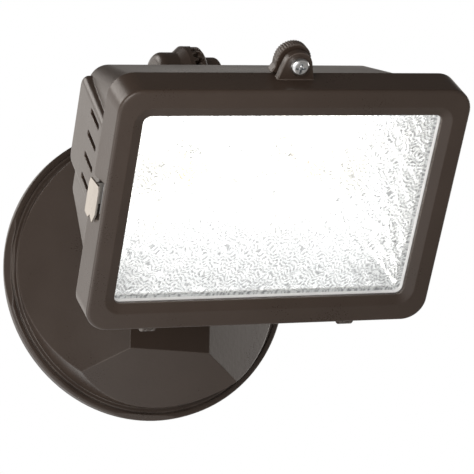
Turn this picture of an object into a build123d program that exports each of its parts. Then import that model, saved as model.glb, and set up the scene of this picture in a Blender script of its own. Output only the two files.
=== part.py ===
"""Wall flood light: hipped round canopy, toothed knuckle arm and die-cast head with a hinged glass door."""
import math
import os

from build123d import *

os.makedirs("parts", exist_ok=True)

# Sizes are millimetres and degrees. X runs to the right and Z up. The wall is the plane Y = 0, and the light
# stands out of it towards -Y, with the origin at the canopy's centre on the wall.

# Canopy: a flange that covers a four inch round box, with a hipped centre
canopy_radius = 65.0
flange_width = 5.0
flange_rise = 4.0
canopy_rise = 34.9
canopy_wall = 2.2
ridge_half_width = 17.8
ridge_half_height = 38.8
side_foot_rise = 4.9
end_foot_rise = 7.6
bead_groove_inset = 2.4
bead_groove_width = 0.8
seal_inset = 1.0
seal_recess = 1.5
seal_clearance = 0.2

# Wall fixing: strap on the box, canopy screws through the side slopes
strap_end_gap = 2.1
strap_width = 15.0
strap_thickness = 2.0
strap_margin = 4.0
strap_hub_radius = 16.0
strap_hole_radius = 9.0
box_slot_length = 24.0
box_slot_width = 4.8
ground_screw_reach = 12.5
ground_screw_turn = 215
canopy_screw_spacing = 69.85
canopy_screw_turn = 155
canopy_screw_radius = 2.0
canopy_screw_head_radius = 3.8
canopy_screw_head_height = 2.4
canopy_boss_radius = 7.0
seat_sink = 2.8
seat_floor = 2.5

# Arm: threaded stub, shoulder, elbow neck and the fixed half of the knuckle
arm_swivel = 6.0
stub_radius = 10.3
stub_inside = 12.0
wireway_radius = 6.0
shoulder_radius = 15.5
shoulder_thickness = 5.0
arm_seal_thickness = 1.0
neck_radius = 8.0
neck_straight = 5.0
elbow_radius = 14.0
knuckle_out = 76.2
knuckle_rise = 68.4

# Knuckle: two toothed discs on one bolt, placed along the knuckle's axis from the middle of the head
tooth_line = -0.8
knuckle_gap = 0.4
arm_disc_radius = 15.6
arm_disc_thickness = 4.0
arm_cone_length = 3.0
arm_boss_radius = 13.0
arm_boss_end = -17.0
arm_boss_rounding = 3.5
head_disc_radius = 15.3
head_disc_thickness = 3.4
head_disc_bevel = 1.0
head_boss_radius = 11.0
head_boss_end = 11.2
head_boss_rounding = 2.0
tooth_count = 24
tooth_depth = 2.1
tooth_hub_radius = 8.0
neck_clearance = 0.5
bolt_radius = 3.1
bolt_hole_radius = 3.2
saddle_width = 30.0
saddle_height = 34.0
saddle_shift = 3.5
head_neck_height = 14.0

# Door: a shallow lid round the glass, measured from the plane of the glass opening
door_width = 143.2
door_height = 103.0
door_corner = 9.5
door_wall = 2.2
door_front = 1.5
door_back = 13.5
door_gap = 0.4
border_side = 10.75
border_end = 11.3
opening_corner = 3.0
bevel_width = 4.0
lip_thickness = 1.5
door_edge = 1.2

# Glass and its silicone channel
glass_lap = 5.2
glass_thickness = 4.0
glass_corner = 5.0
channel_web = 1.5
channel_lip = 1.0
channel_show = 0.4
channel_clearance = 0.2

# Head: a drafted casting behind the door, whose back lies in front of the knuckle's axis
head_tilt = 40.0
back_depth = 65.0
knuckle_stand = 42.5
housing_wall = 3.0
rim_gap_side = 3.9
rim_gap_end = 5.1
rim_clearance = 0.3
rim_corner = 6.0
body_inset_side = 4.6
body_inset_top = 3.5
body_inset_bottom = 4.5
body_corner = 11.0
back_inset_side = 10.6
back_inset_top = 21.5
back_inset_bottom = 20.5
back_corner = 7.0
back_edge = 1.1

# Side boxes over the lampholders, with cooling grooves
side_box_inset_front = 2.6
side_box_inset_back = 7.4
side_box_drop = 3.5
side_box_height = 39.0
side_box_rounding = 5.0
side_box_edge = 2.8
groove_count = 4
groove_pitch = 9.2
groove_shift = 0.6
groove_front = 26.3
groove_length = 15.5
groove_width = 2.6
groove_floor_inset = 7.6

# Door screw and the two ears that it joins
screw_rise = 5.9
screw_radius = 1.6
screw_clearance = 0.25
screw_hole_radius = 2.1
screw_head_radius = 3.7
screw_head_height = 2.8
screw_end_reach = 1.4
retainer_thickness = 1.0
ear_rise = 5.5
door_ear_radius = 5.7
door_ear_base = 7.6
door_ear_setback = 6.0
door_ear_thickness = 3.0
housing_ear_radius = 7.0
housing_ear_flare = 1.5
housing_ear_overlap = 1.2
housing_ear_thickness = 3.9
housing_ear_gap = 0.6
ear_rib_count = 20
ear_rib_size = 0.6

# Hinge under the door
hinge_drop = 3.0
hinge_setback = 4.0
hinge_spread = 42.0
lug_radius = 4.0
lug_width = 2.4
cheek_width = 1.2
hinge_gap = 0.3
pin_radius = 1.2
pin_clearance = 0.08

# Side clips of spring steel, which lie over notches in the door's skirt
clip_thickness = 0.8
clip_stand = 0.3
clip_width = 11.4
clip_back_gap = 0.2
clip_top = 8.6
clip_bottom = -8.0
clip_leg_height = 9.0
clip_leg_reach = 2.0
notch_width = 12.3
notch_top = 11.0
notch_bottom = -5.8
notch_draft = 24

# Lamp, lampholders and reflector
lamp_radius = 5.5
lamp_stand = 14.0
cap_length = 10.0
cap_radius = 4.0
cap_seating = 1.0
holder_length = 18.0
holder_height = 16.0
holder_thickness = 14.0
mouth_clearance = 0.4
mouth_depth = 3.0
bracket_thickness = 1.2
bracket_gap = 0.8
reflector_gap_side = 1.5
reflector_gap_end = 1.2
reflector_gap_front = 1.3
reflector_stand = 12.0
reflector_floor_width = 72.0
reflector_floor_height = 24.0
reflector_wall = 0.8
reflector_post_spread = 20.0

# Sizes that follow from the ones above
hip_radius = canopy_radius - flange_width
side_slope = math.degrees(math.atan2(canopy_rise - side_foot_rise, hip_radius - ridge_half_width))
end_slope = math.degrees(math.atan2(canopy_rise - end_foot_rise, hip_radius - ridge_half_height))
strap_length = 2 * (hip_radius - canopy_wall - strap_end_gap)
box_slot_spacing = strap_length - 2 * strap_margin - box_slot_length
head_reach = back_depth + knuckle_stand
shoulder_depth = door_back + door_gap
opening_width = door_width - 2 * border_side
opening_height = door_height - 2 * border_end
glass_width = opening_width + 2 * glass_lap
glass_height = opening_height + 2 * glass_lap
glass_front = lip_thickness + channel_web
channel_back = glass_front + glass_thickness + channel_lip
rim_depth = channel_back + rim_clearance
rim_width = door_width - 2 * (door_wall + rim_gap_side)
rim_height = door_height - 2 * (door_wall + rim_gap_end)
body_width = door_width - 2 * body_inset_side
body_top = door_height / 2 - body_inset_top
body_bottom = body_inset_bottom - door_height / 2
back_width = door_width - 2 * back_inset_side
back_top = door_height / 2 - back_inset_top
back_bottom = back_inset_bottom - door_height / 2
inner_back = back_depth - housing_wall
side_box_front = door_width / 2 - side_box_inset_front
side_box_back = door_width / 2 - side_box_inset_back
side_box_top = back_top - side_box_drop
side_box_bottom = side_box_top - side_box_height
groove_middle = (side_box_top + side_box_bottom) / 2 + groove_shift
screw_height = door_height / 2 + screw_rise
ear_centre = door_height / 2 + ear_rise
door_ear_front = door_back - door_ear_setback
door_ear_back = door_ear_front + door_ear_thickness
housing_ear_front = door_back - housing_ear_overlap
housing_ear_back = housing_ear_front + housing_ear_thickness
hinge_height = -door_height / 2 - hinge_drop
hinge_depth = door_back - hinge_setback
clip_back = shoulder_depth + clip_back_gap + clip_thickness
clip_front = clip_back - clip_width
reflector_front = rim_depth + reflector_gap_front
reflector_width = rim_width - 2 * (housing_wall + reflector_gap_side)
reflector_height = rim_height - 2 * (housing_wall + reflector_gap_end)
reflector_floor_depth = inner_back - reflector_stand
lamp_depth = reflector_floor_depth - lamp_stand
bracket_outer = back_width / 2 - housing_wall - bracket_gap
holder_start = bracket_outer - bracket_thickness - holder_length
lamp_length = 2 * (holder_start + cap_seating)

# Directions and planes: the arm is swivelled about the wall's normal, and the head is tilted about the knuckle
swivel = math.radians(arm_swivel)
tilt = math.radians(head_tilt)
outward = Vector(0, -1, 0)
across = Vector(math.cos(swivel), 0, math.sin(swivel))
upright = Vector(-math.sin(swivel), 0, math.cos(swivel))
facing = outward * math.cos(tilt) - upright * math.sin(tilt)
head_up = outward * math.sin(tilt) + upright * math.cos(tilt)
knuckle_centre = outward * knuckle_out + upright * knuckle_rise
face_centre = knuckle_centre + facing * head_reach

wall = Plane.XZ
arm_base = Plane(origin=(0, 0, 0), x_dir=across, z_dir=outward)
knuckle = Plane(origin=knuckle_centre, x_dir=-facing, z_dir=across)
knuckle_section = Plane(origin=knuckle_centre, x_dir=across, z_dir=-head_up)
face = Plane(origin=face_centre, x_dir=across, z_dir=facing)
side = Plane(origin=face_centre, x_dir=-facing, z_dir=across)
plan = Plane(origin=face_centre, x_dir=across, z_dir=head_up)
out_axis = Axis((0, 0, 0), outward)
knuckle_axis = Axis(knuckle_centre, across)
across_axis = Axis(face_centre, across)
up_axis = Axis(face_centre, head_up)
facing_axis = Axis(face_centre, facing)


def export(piece, name):
    """Label a finished piece and write it to its own file."""
    piece.part.label = name
    export_step(piece.part, f"parts/{name}.step")


def slope_plane(x, z, x_normal, z_normal, angle, sink):
    """The plane of a canopy slope, moved inwards by sink."""
    normal = Vector(
        x_normal * math.sin(math.radians(angle)),
        -math.cos(math.radians(angle)),
        z_normal * math.sin(math.radians(angle)),
    )
    return Plane(origin=Vector(x, -canopy_rise, z) - normal * sink, z_dir=normal)


def canopy_slopes(sink):
    """The four slopes that cut the canopy's centre to its hipped form."""
    return [
        slope_plane(ridge_half_width, 0, 1, 0, side_slope, sink),
        slope_plane(-ridge_half_width, 0, -1, 0, side_slope, sink),
        slope_plane(0, ridge_half_height, 0, 1, end_slope, sink),
        slope_plane(0, -ridge_half_height, 0, -1, end_slope, sink),
    ]


# Hipped core of the canopy, and the hollow inside it
with BuildPart() as canopy_core:
    with BuildSketch(wall):
        Circle(hip_radius)
    extrude(amount=canopy_rise)
    for slope in canopy_slopes(0):
        split(bisect_by=slope, keep=Keep.BOTTOM)

with BuildPart() as canopy_hollow:
    with BuildSketch(wall):
        Circle(hip_radius - canopy_wall)
    extrude(amount=canopy_rise - canopy_wall)
    for slope in canopy_slopes(canopy_wall):
        split(bisect_by=slope, keep=Keep.BOTTOM)

# Canopy: flange with a beaded edge, hipped centre, two screw bosses and the arm's hole
screw_place = Vector(canopy_screw_spacing / 2, 0).rotate(Axis.Z, canopy_screw_turn)
screw_places = [screw_place, -screw_place]
slope_fall = (abs(screw_place.X) - ridge_half_width) * math.tan(math.radians(side_slope))
seat_out = canopy_rise - slope_fall - seat_sink
bead_groove_radius = canopy_radius - bead_groove_inset
with BuildPart() as canopy:
    with BuildSketch(wall):
        Circle(canopy_radius)
    extrude(amount=flange_rise)
    fillet(canopy.edges().sort_by(out_axis)[-1], radius=1.2)
    with BuildSketch(wall.offset(flange_rise)):
        Circle(bead_groove_radius)
        Circle(bead_groove_radius - bead_groove_width, mode=Mode.SUBTRACT)
    extrude(amount=-bead_groove_width, mode=Mode.SUBTRACT)
    add(canopy_core.part)
    add(canopy_hollow.part, mode=Mode.SUBTRACT)
    with BuildSketch(wall.offset(seat_out - seat_floor)):
        with Locations(screw_places):
            Circle(canopy_boss_radius)
    extrude(amount=canopy_rise)
    for slope in canopy_slopes(0):
        split(bisect_by=slope, keep=Keep.BOTTOM)
    with BuildSketch(wall.offset(seat_out)):
        with Locations(screw_places):
            Circle(canopy_screw_head_radius + 0.4)
    extrude(amount=canopy_rise, mode=Mode.SUBTRACT)
    with BuildSketch(wall):
        with Locations(screw_places):
            Circle(canopy_screw_radius + 0.3)
        Circle(stub_radius + 0.3)
    extrude(amount=canopy_rise, mode=Mode.SUBTRACT)
    with BuildSketch(wall):
        Circle(canopy_radius - seal_inset)
        Circle(hip_radius - canopy_wall, mode=Mode.SUBTRACT)
    extrude(amount=seal_recess, mode=Mode.SUBTRACT)
export(canopy, "canopy")

# Gasket in the recess behind the flange
with BuildPart() as canopy_gasket:
    with BuildSketch(wall):
        Circle(canopy_radius - seal_inset - seal_clearance)
        Circle(hip_radius - canopy_wall + 0.5, mode=Mode.SUBTRACT)
    extrude(amount=seal_recess)
export(canopy_gasket, "canopy_gasket")

# Cross-shaped strap on the box: upright slots for the box screws, tapped arms for the canopy screws
ground_screw_place = Vector(ground_screw_reach, 0).rotate(Axis.Z, ground_screw_turn)
with BuildPart() as mounting_strap:
    with BuildSketch(wall):
        SlotOverall(strap_length, strap_width, rotation=90)
        SlotOverall(canopy_screw_spacing + strap_width, strap_width, rotation=canopy_screw_turn)
        Circle(strap_hub_radius)
        Circle(strap_hole_radius, mode=Mode.SUBTRACT)
        with Locations(screw_places):
            Circle(canopy_screw_radius + 0.05, mode=Mode.SUBTRACT)
        with Locations((0, box_slot_spacing / 2), (0, -box_slot_spacing / 2)):
            SlotOverall(box_slot_length, box_slot_width, rotation=90, mode=Mode.SUBTRACT)
        with Locations(ground_screw_place):
            Circle(1.75, mode=Mode.SUBTRACT)
    extrude(amount=strap_thickness)
export(mounting_strap, "mounting_strap")

# Two long screws draw the canopy to the strap
with BuildPart() as canopy_screws:
    with BuildSketch(wall.offset(0.1)):
        with Locations(screw_places):
            Circle(canopy_screw_radius)
    extrude(amount=seat_out)
    with BuildSketch(wall.offset(seat_out)):
        with Locations(screw_places):
            Circle(canopy_screw_head_radius)
    extrude(amount=canopy_screw_head_height)
    chamfer(canopy_screws.faces().sort_by(out_axis)[-2:].edges(), length=0.8)
    with BuildSketch(wall.offset(seat_out + canopy_screw_head_height)):
        with Locations(screw_places):
            Rectangle(5.5, 1.0)
    extrude(amount=-1.0, mode=Mode.SUBTRACT)
export(canopy_screws, "canopy_screws")

# Ground screw on the strap
with BuildPart() as ground_screw:
    with BuildSketch(wall.offset(0.1)):
        with Locations(ground_screw_place):
            Circle(1.7)
    extrude(amount=strap_thickness)
    with BuildSketch(wall.offset(strap_thickness)):
        with Locations(ground_screw_place):
            RegularPolygon(3.0, 6)
    extrude(amount=2.0)
export(ground_screw, "ground_screw")

# Space between two knuckle teeth: a wedge with a flat floor that widens and deepens outwards
tooth_angle = 360 / tooth_count
tooth_outer_radius = max(arm_disc_radius, head_disc_radius) + 1
with BuildPart() as tooth_space:
    for radius in (tooth_hub_radius, tooth_outer_radius):
        half = radius * math.tan(math.radians(tooth_angle / 2)) * 0.85
        depth = tooth_depth * radius / tooth_outer_radius
        with BuildSketch(Plane(origin=(radius, 0, 0), x_dir=(0, 1, 0), z_dir=(1, 0, 0))):
            with BuildLine():
                Polyline((-half, 0.01), (half, 0.01), (half / 2, -depth), (-half / 2, -depth), close=True)
            make_face()
    loft(ruled=True)


def cut_teeth(plane, start):
    """Cut a ring of tooth spaces into the open part, from the start angle on the plane of the tooth tips."""
    spaces = [
        plane.location * Rot(0, 0, start + index * tooth_angle) * tooth_space.part
        for index in range(tooth_count)
    ]
    add(spaces, mode=Mode.SUBTRACT)


# Arm: one casting from the threaded stub to the coned boss with the fixed toothed disc
shoulder_out = canopy_rise + arm_seal_thickness
neck_start = shoulder_out + shoulder_thickness - 1
lap_radius = tooth_outer_radius + 0.2
arm_tooth_face = tooth_line - knuckle_gap / 2
neck_middle = arm_tooth_face + 0.2 - neck_radius
cone_start = arm_tooth_face - arm_disc_thickness
boss_start = cone_start - arm_cone_length
with BuildPart() as arm:
    with BuildSketch(arm_base.offset(canopy_rise - stub_inside)):
        Circle(stub_radius)
    extrude(amount=stub_inside + arm_seal_thickness)
    with BuildSketch(arm_base.offset(shoulder_out)):
        Circle(shoulder_radius)
    extrude(amount=shoulder_thickness)
    chamfer(arm.edges().sort_by(out_axis)[-1], length=1.2)
    with BuildLine() as neck_path:
        FilletPolyline(
            outward * neck_start,
            outward * (neck_start + neck_straight + elbow_radius * 0.4),
            knuckle_centre + across * neck_middle,
            radius=elbow_radius,
        )
    with BuildSketch(arm_base.offset(neck_start)):
        Circle(neck_radius)
    sweep(path=neck_path.line)
    with BuildSketch(knuckle.offset(arm_tooth_face)):
        Circle(lap_radius)
    extrude(amount=4 * neck_radius, mode=Mode.SUBTRACT)
    with BuildSketch(knuckle_section):
        with BuildLine():
            Polyline(
                (arm_boss_end, 0),
                (arm_tooth_face, 0),
                (arm_tooth_face, arm_disc_radius),
                (cone_start, arm_disc_radius),
                (boss_start, arm_boss_radius),
                (arm_boss_end + arm_boss_rounding, arm_boss_radius),
            )
            CenterArc(
                (arm_boss_end + arm_boss_rounding, arm_boss_radius - arm_boss_rounding),
                arm_boss_rounding,
                90,
                90,
            )
            Line((arm_boss_end, arm_boss_radius - arm_boss_rounding), (arm_boss_end, 0))
        make_face()
    revolve(axis=knuckle_axis)
    cut_teeth(knuckle.offset(arm_tooth_face), 0)
    with BuildSketch(knuckle.offset(arm_boss_end)):
        Circle(bolt_hole_radius)
    extrude(amount=arm_tooth_face - arm_boss_end, mode=Mode.SUBTRACT)
    with BuildSketch(arm_base.offset(canopy_rise - stub_inside)):
        Circle(wireway_radius)
    extrude(amount=stub_inside + shoulder_thickness, mode=Mode.SUBTRACT)
export(arm, "arm")

# Seal under the arm's shoulder, and the locknut inside the canopy
with BuildPart() as arm_seal:
    with BuildSketch(arm_base.offset(canopy_rise)):
        Circle(shoulder_radius - 0.4)
        Circle(stub_radius + 0.1, mode=Mode.SUBTRACT)
    extrude(amount=arm_seal_thickness)
export(arm_seal, "arm_seal")

nut_thickness = 4.5
with BuildPart() as arm_locknut:
    with BuildSketch(arm_base.offset(canopy_rise - canopy_wall - nut_thickness)):
        Circle(15.0)
        with PolarLocations(15.0, 8):
            Rectangle(2.4, 3.0, mode=Mode.SUBTRACT)
        Circle(stub_radius, mode=Mode.SUBTRACT)
    extrude(amount=nut_thickness)
export(arm_locknut, "arm_locknut")

# Knuckle bolt, with its washer and nut on the head's side
bolt_head_height = 4.0
washer_thickness = 1.4
knuckle_nut_height = 5.0
nut_start = head_boss_end + washer_thickness
with BuildPart() as knuckle_bolt:
    with BuildSketch(knuckle.offset(arm_boss_end - bolt_head_height)):
        RegularPolygon(6.4, 6)
    extrude(amount=bolt_head_height)
    with BuildSketch(knuckle.offset(arm_boss_end)):
        Circle(bolt_radius)
    extrude(amount=nut_start + knuckle_nut_height + 1.5 - arm_boss_end)
    chamfer(knuckle_bolt.edges().sort_by(across_axis)[-1], length=0.6)
export(knuckle_bolt, "knuckle_bolt")

with BuildPart() as knuckle_washer:
    with BuildSketch(knuckle.offset(head_boss_end + 0.3)):
        Circle(6.0)
        Circle(bolt_radius + 0.1, mode=Mode.SUBTRACT)
    extrude(amount=washer_thickness - 0.3)
export(knuckle_washer, "knuckle_washer")

with BuildPart() as knuckle_nut:
    with BuildSketch(knuckle.offset(nut_start)):
        RegularPolygon(6.2, 6)
        Circle(bolt_radius, mode=Mode.SUBTRACT)
    extrude(amount=knuckle_nut_height)
export(knuckle_nut, "knuckle_nut")

# Side box of the housing: a drafted block with a rounded back corner, cooling grooves and the clip's slot
box_root = back_width / 2 - 2 * housing_wall
clip_leg_middle = (clip_top + clip_bottom) / 2
with BuildPart() as side_box:
    with BuildSketch(plan.offset(side_box_bottom)):
        with BuildLine():
            Polyline(
                (box_root, shoulder_depth),
                (side_box_front, shoulder_depth),
                (side_box_back, back_depth),
                (box_root, back_depth),
                close=True,
            )
        make_face()
    extrude(amount=side_box_top - side_box_bottom)
    back_face = side_box.faces().sort_by(facing_axis)[0]
    fillet(back_face.edges().filter_by(across_axis), radius=side_box_rounding)
    outer_face = side_box.faces().sort_by(across_axis)[-1]
    fillet(outer_face.edges().sort_by(up_axis)[-1], radius=side_box_edge)
    with BuildSketch(side.offset(side_box_front + 1)):
        for index in range(groove_count):
            height = groove_middle + (index - (groove_count - 1) / 2) * groove_pitch
            with Locations((groove_front + groove_length / 2, height)):
                SlotOverall(groove_length, groove_width)
    extrude(amount=side_box_inset_front - 1 - groove_floor_inset, mode=Mode.SUBTRACT)
    with BuildSketch(side.offset(side_box_front)):
        with Locations(((shoulder_depth + clip_back) / 2, clip_leg_middle)):
            Rectangle(clip_back - shoulder_depth + 0.2, clip_leg_height + 1)
    extrude(amount=-clip_leg_reach - 0.4, mode=Mode.SUBTRACT)

# Ear of the housing behind the door's ear, with a ribbed edge and a foot behind the door's skirt
with BuildPart() as housing_ear:
    with BuildSketch(face.offset(-housing_ear_front)):
        with Locations((0, ear_centre)):
            Circle(housing_ear_radius)
        for index in range(ear_rib_count):
            turn = 180 * (index + 0.5) / ear_rib_count
            rib = Vector(housing_ear_radius, 0).rotate(Axis.Z, turn)
            with Locations((rib.X, rib.Y + ear_centre)):
                Rectangle(ear_rib_size, ear_rib_size, rotation=turn + 45, mode=Mode.SUBTRACT)
        ear_base = door_height / 2 + housing_ear_gap
        with Locations((0, (ear_centre + ear_base) / 2)):
            Rectangle(2 * housing_ear_radius, ear_centre - ear_base)
        with Locations((0, ear_base - housing_ear_radius / 2)):
            Rectangle(2 * housing_ear_radius, housing_ear_radius, mode=Mode.SUBTRACT)
        with Locations((0, ear_base + housing_ear_flare)):
            Trapezoid(2 * (housing_ear_radius + housing_ear_flare), 2 * housing_ear_flare, 60)
    extrude(amount=-housing_ear_thickness)
    with BuildSketch(face.offset(-shoulder_depth)):
        with Locations((0, (ear_base + body_top - 4) / 2)):
            Rectangle(2 * housing_ear_radius, ear_base - body_top + 4)
    extrude(amount=shoulder_depth - housing_ear_back)

# Lug of the housing that reaches under the door to the hinge pin
with BuildPart() as hinge_lug:
    with BuildSketch(side.offset(hinge_spread - lug_width / 2)):
        with Locations((hinge_depth, hinge_height)):
            Circle(lug_radius)
        lug_bottom = hinge_height - lug_radius
        lug_top = -door_height / 2 - door_gap
        lug_back = shoulder_depth + 6
        with BuildLine():
            Polyline(
                (hinge_depth, lug_bottom),
                (lug_back - 3, lug_bottom),
                (lug_back, lug_bottom + 3),
                (lug_back, body_bottom + 3),
                (shoulder_depth + 0.2, body_bottom + 3),
                (shoulder_depth + 0.2, lug_top),
                (hinge_depth, lug_top),
                close=True,
            )
        make_face()
        with Locations((hinge_depth, hinge_height)):
            Circle(pin_radius + pin_clearance, mode=Mode.SUBTRACT)
    extrude(amount=lug_width)

# Housing: a drafted casting, open at the front, with the free half of the knuckle on its back
head_tooth_face = tooth_line + knuckle_gap / 2
head_neck_start = tooth_line + neck_clearance
head_neck_width = head_boss_end - head_neck_start
head_neck_middle = (head_boss_end + head_neck_start) / 2
head_neck_depth = head_reach + 2 - head_disc_radius
head_disc_end = head_tooth_face + head_disc_thickness
body_middle = (body_top + body_bottom) / 2
back_middle = (back_top + back_bottom) / 2
with BuildPart() as housing:
    with BuildSketch(face.offset(-shoulder_depth)):
        with Locations((0, body_middle)):
            RectangleRounded(body_width, body_top - body_bottom, body_corner)
    for inset in (0, back_edge):
        with BuildSketch(face.offset(back_edge - inset - back_depth)):
            with Locations((0, back_middle)):
                RectangleRounded(
                    back_width - 2 * inset, back_top - back_bottom - 2 * inset, back_corner - inset
                )
    loft(ruled=True)
    with BuildSketch(face.offset(-rim_depth)):
        RectangleRounded(rim_width, rim_height, rim_corner)
    extrude(amount=rim_depth - shoulder_depth)
    add([side_box.part, mirror(side_box.part, about=side, mode=Mode.PRIVATE)])
    add(housing_ear.part)
    add([hinge_lug.part, mirror(hinge_lug.part, about=side, mode=Mode.PRIVATE)])
    with BuildSketch(face.offset(-inner_back)):
        with Locations((saddle_shift, 0)):
            RectangleRounded(saddle_width, saddle_height, 6)
    with BuildSketch(face.offset(-head_neck_depth)):
        with Locations((head_neck_middle, 0)):
            RectangleRounded(head_neck_width, head_neck_height, 4)
    loft(ruled=True)
    with BuildSketch(face.offset(-head_neck_depth)):
        with Locations((head_neck_middle, 0)):
            RectangleRounded(head_neck_width, head_neck_height, 4)
    extrude(amount=head_neck_depth - head_reach)
    with BuildSketch(knuckle.offset(head_tooth_face)):
        Circle(lap_radius)
    extrude(amount=-4 * neck_radius, mode=Mode.SUBTRACT)
    with BuildSketch(knuckle_section):
        with BuildLine():
            Polyline(
                (head_boss_end, 0),
                (head_tooth_face, 0),
                (head_tooth_face, head_disc_radius),
                (head_disc_end - head_disc_bevel, head_disc_radius),
                (head_disc_end, head_disc_radius - head_disc_bevel),
                (head_disc_end, head_boss_radius),
                (head_boss_end - head_boss_rounding, head_boss_radius),
            )
            CenterArc(
                (head_boss_end - head_boss_rounding, head_boss_radius - head_boss_rounding),
                head_boss_rounding,
                0,
                90,
            )
            Line((head_boss_end, head_boss_radius - head_boss_rounding), (head_boss_end, 0))
        make_face()
    revolve(axis=knuckle_axis)
    head_teeth = Plane(origin=knuckle_centre + across * head_tooth_face, x_dir=-facing, z_dir=-across)
    cut_teeth(head_teeth, tooth_angle / 2)
    with BuildSketch(knuckle.offset(head_tooth_face)):
        Circle(bolt_hole_radius)
    extrude(amount=head_boss_end - head_tooth_face, mode=Mode.SUBTRACT)
    with BuildSketch(face.offset(-rim_depth)):
        RectangleRounded(rim_width - 2 * housing_wall, rim_height - 2 * housing_wall, rim_corner - 2)
    with BuildSketch(face.offset(-inner_back)):
        with Locations((0, back_middle)):
            RectangleRounded(
                back_width - 2 * housing_wall,
                back_top - back_bottom - 2 * housing_wall,
                back_corner - housing_wall,
            )
    loft(ruled=True, mode=Mode.SUBTRACT)
    with BuildSketch(face.offset(-housing_ear_front)):
        with Locations((0, screw_height)):
            Circle(screw_radius + screw_clearance)
    extrude(amount=-housing_ear_thickness, mode=Mode.SUBTRACT)
    with BuildSketch(face.offset(-inner_back - 1)):
        with Locations((reflector_post_spread, 0), (-reflector_post_spread, 0)):
            Circle(3.5)
            Circle(1.5, mode=Mode.SUBTRACT)
    extrude(amount=inner_back + 1 - reflector_floor_depth - reflector_wall)
export(housing, "housing")

# Reflector: a pressed pan with openings in its ends for the lampholders
with BuildPart() as reflector:
    with BuildSketch(face.offset(-reflector_front)):
        RectangleRounded(reflector_width, reflector_height, 4)
    with BuildSketch(face.offset(-reflector_floor_depth - reflector_wall)):
        RectangleRounded(reflector_floor_width, reflector_floor_height, 4)
    loft(ruled=True)
    with BuildSketch(face.offset(-reflector_front)):
        RectangleRounded(reflector_width - 2 * reflector_wall, reflector_height - 2 * reflector_wall, 3.2)
    with BuildSketch(face.offset(-reflector_floor_depth)):
        RectangleRounded(
            reflector_floor_width - 2 * reflector_wall, reflector_floor_height - 2 * reflector_wall, 3.2
        )
    loft(ruled=True, mode=Mode.SUBTRACT)
    with BuildSketch(side.offset(-reflector_width / 2)):
        with Locations((lamp_depth, 0)):
            Rectangle(holder_thickness + 1, holder_height + 1)
    extrude(amount=reflector_width, mode=Mode.SUBTRACT)
    with BuildSketch(face.offset(-reflector_floor_depth + 1)):
        with Locations((reflector_post_spread, 0), (-reflector_post_spread, 0)):
            Circle(1.8)
    extrude(amount=-3, mode=Mode.SUBTRACT)
export(reflector, "reflector")

with BuildPart() as reflector_screws:
    with BuildSketch(face.offset(-reflector_floor_depth - 7)):
        with Locations((reflector_post_spread, 0), (-reflector_post_spread, 0)):
            Circle(1.5)
    extrude(amount=7)
    with BuildSketch(face.offset(-reflector_floor_depth)):
        with Locations((reflector_post_spread, 0), (-reflector_post_spread, 0)):
            Circle(3.0)
    extrude(amount=1.8)
    chamfer(reflector_screws.faces().sort_by(facing_axis)[-2:].edges(), length=0.6)
export(reflector_screws, "reflector_screws")

# Lamp: a double-ended tube with ceramic caps
tube_half = lamp_length / 2 - cap_length
with BuildPart() as lamp_tube:
    with BuildSketch(side.offset(-tube_half)):
        with Locations((lamp_depth, 0)):
            Circle(lamp_radius)
    extrude(amount=2 * tube_half)
    chamfer(lamp_tube.edges(), length=1.5)
export(lamp_tube, "lamp_tube")

with BuildPart() as lamp_caps:
    for start in (-lamp_length / 2, tube_half):
        with BuildSketch(side.offset(start)):
            with Locations((lamp_depth, 0)):
                Circle(cap_radius)
        extrude(amount=cap_length)
    chamfer(lamp_caps.edges().sort_by(across_axis)[0], length=0.8)
    chamfer(lamp_caps.edges().sort_by(across_axis)[-1], length=0.8)
export(lamp_caps, "lamp_caps")

# Lampholders: ceramic blocks with a blind mouth for the lamp's cap, each with a sprung contact
with BuildPart() as lampholders:
    with BuildSketch(side.offset(holder_start)):
        with Locations((lamp_depth, 0)):
            Rectangle(holder_thickness, holder_height)
    extrude(amount=holder_length)
    fillet(lampholders.edges().filter_by(across_axis), radius=2.0)
    with BuildSketch(side.offset(holder_start)):
        with Locations((lamp_depth, 0)):
            Circle(cap_radius + mouth_clearance)
    extrude(amount=mouth_depth, mode=Mode.SUBTRACT)
    with BuildSketch(side.offset(holder_start)):
        with Locations((lamp_depth, 0)):
            Circle(1.7)
    extrude(amount=10, mode=Mode.SUBTRACT)
    mirror(about=side)
export(lampholders, "lampholders")

with BuildPart() as lampholder_contacts:
    with BuildSketch(side.offset(lamp_length / 2)):
        with Locations((lamp_depth, 0)):
            Circle(1.6)
    extrude(amount=8)
    mirror(about=side)
export(lampholder_contacts, "lampholder_contacts")

# Brackets that carry the lampholders from the housing's back wall
with BuildPart() as lampholder_brackets:
    with BuildSketch(plan.offset(-6)):
        with BuildLine():
            Polyline(
                (bracket_outer - bracket_thickness, lamp_depth - 6),
                (bracket_outer, lamp_depth - 6),
                (bracket_outer, inner_back),
                (bracket_outer - 13, inner_back),
                (bracket_outer - 13, inner_back - bracket_thickness),
                (bracket_outer - bracket_thickness, inner_back - bracket_thickness),
                close=True,
            )
        make_face()
    extrude(amount=12)
    with BuildSketch(face.offset(-inner_back)):
        with Locations((bracket_outer - 8, 0)):
            Circle(1.7)
    extrude(amount=3, mode=Mode.SUBTRACT)
    mirror(about=side)
export(lampholder_brackets, "lampholder_brackets")

with BuildPart() as bracket_screws:
    with BuildSketch(face.offset(-inner_back + bracket_thickness)):
        with Locations((bracket_outer - 8, 0)):
            Circle(3.0)
    extrude(amount=1.8)
    with BuildSketch(face.offset(-inner_back)):
        with Locations((bracket_outer - 8, 0)):
            Circle(1.6)
    extrude(amount=bracket_thickness)
    mirror(about=side)
export(bracket_screws, "bracket_screws")

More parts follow.
